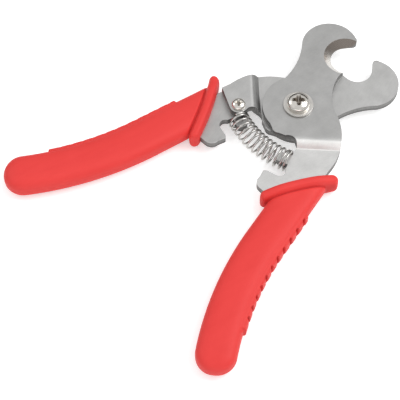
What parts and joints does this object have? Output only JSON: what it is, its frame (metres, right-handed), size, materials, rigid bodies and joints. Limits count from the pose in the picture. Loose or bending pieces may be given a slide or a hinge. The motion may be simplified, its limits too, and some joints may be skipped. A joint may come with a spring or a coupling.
{
  "type": "pet nail clipper",
  "caption": "Plier-type pet nail clipper with crossed steel levers, hooked cutting jaws, a return spring and red moulded grips.",
  "frame": {"origin": "where the pivot screw's axis meets the surface that the tool lies on", "axes": "+Y from the pivot to the jaws, midway between the open handles; +Z along the pivot axis, up from the surface; +X towards the upper lever's handle"},
  "size_m": [0.1222, 0.1476, 0.0141],
  "materials": {
    "stainless_sheet": "satin stainless steel sheet",
    "plated_fasteners": "bright nickel plate",
    "spring_wire": "bright drawn spring wire",
    "nylon": "natural nylon",
    "red_grip": "soft satin moulded plastic"
  },
  "bodies": {
    "lower_side": {"lower_blade": "stainless_sheet", "lower_handle_plate": "stainless_sheet", "lap_screw": "plated_fasteners", "pivot_screw": "plated_fasteners", "pivot_washer_front": "plated_fasteners", "pivot_washer_rear": "plated_fasteners", "pivot_lock_nut": "plated_fasteners", "nut_nylon_ring": "nylon", "return_spring": "spring_wire", "left_grip": "red_grip"},
    "upper_side": {"upper_lever": "stainless_sheet", "right_grip": "red_grip"}
  },
  "joints": [
    {"name": "lever_pivot", "type": "hinge", "parent": "lower_side", "child": "upper_side", "pos_m": [0, 0, 0], "axis": [0, 0, -1], "range_deg": [0, 36.5], "stiffness_Nm_per_rad": 0.5, "springref_deg": -2.86, "deforming": ["return_spring"]}
  ]
}
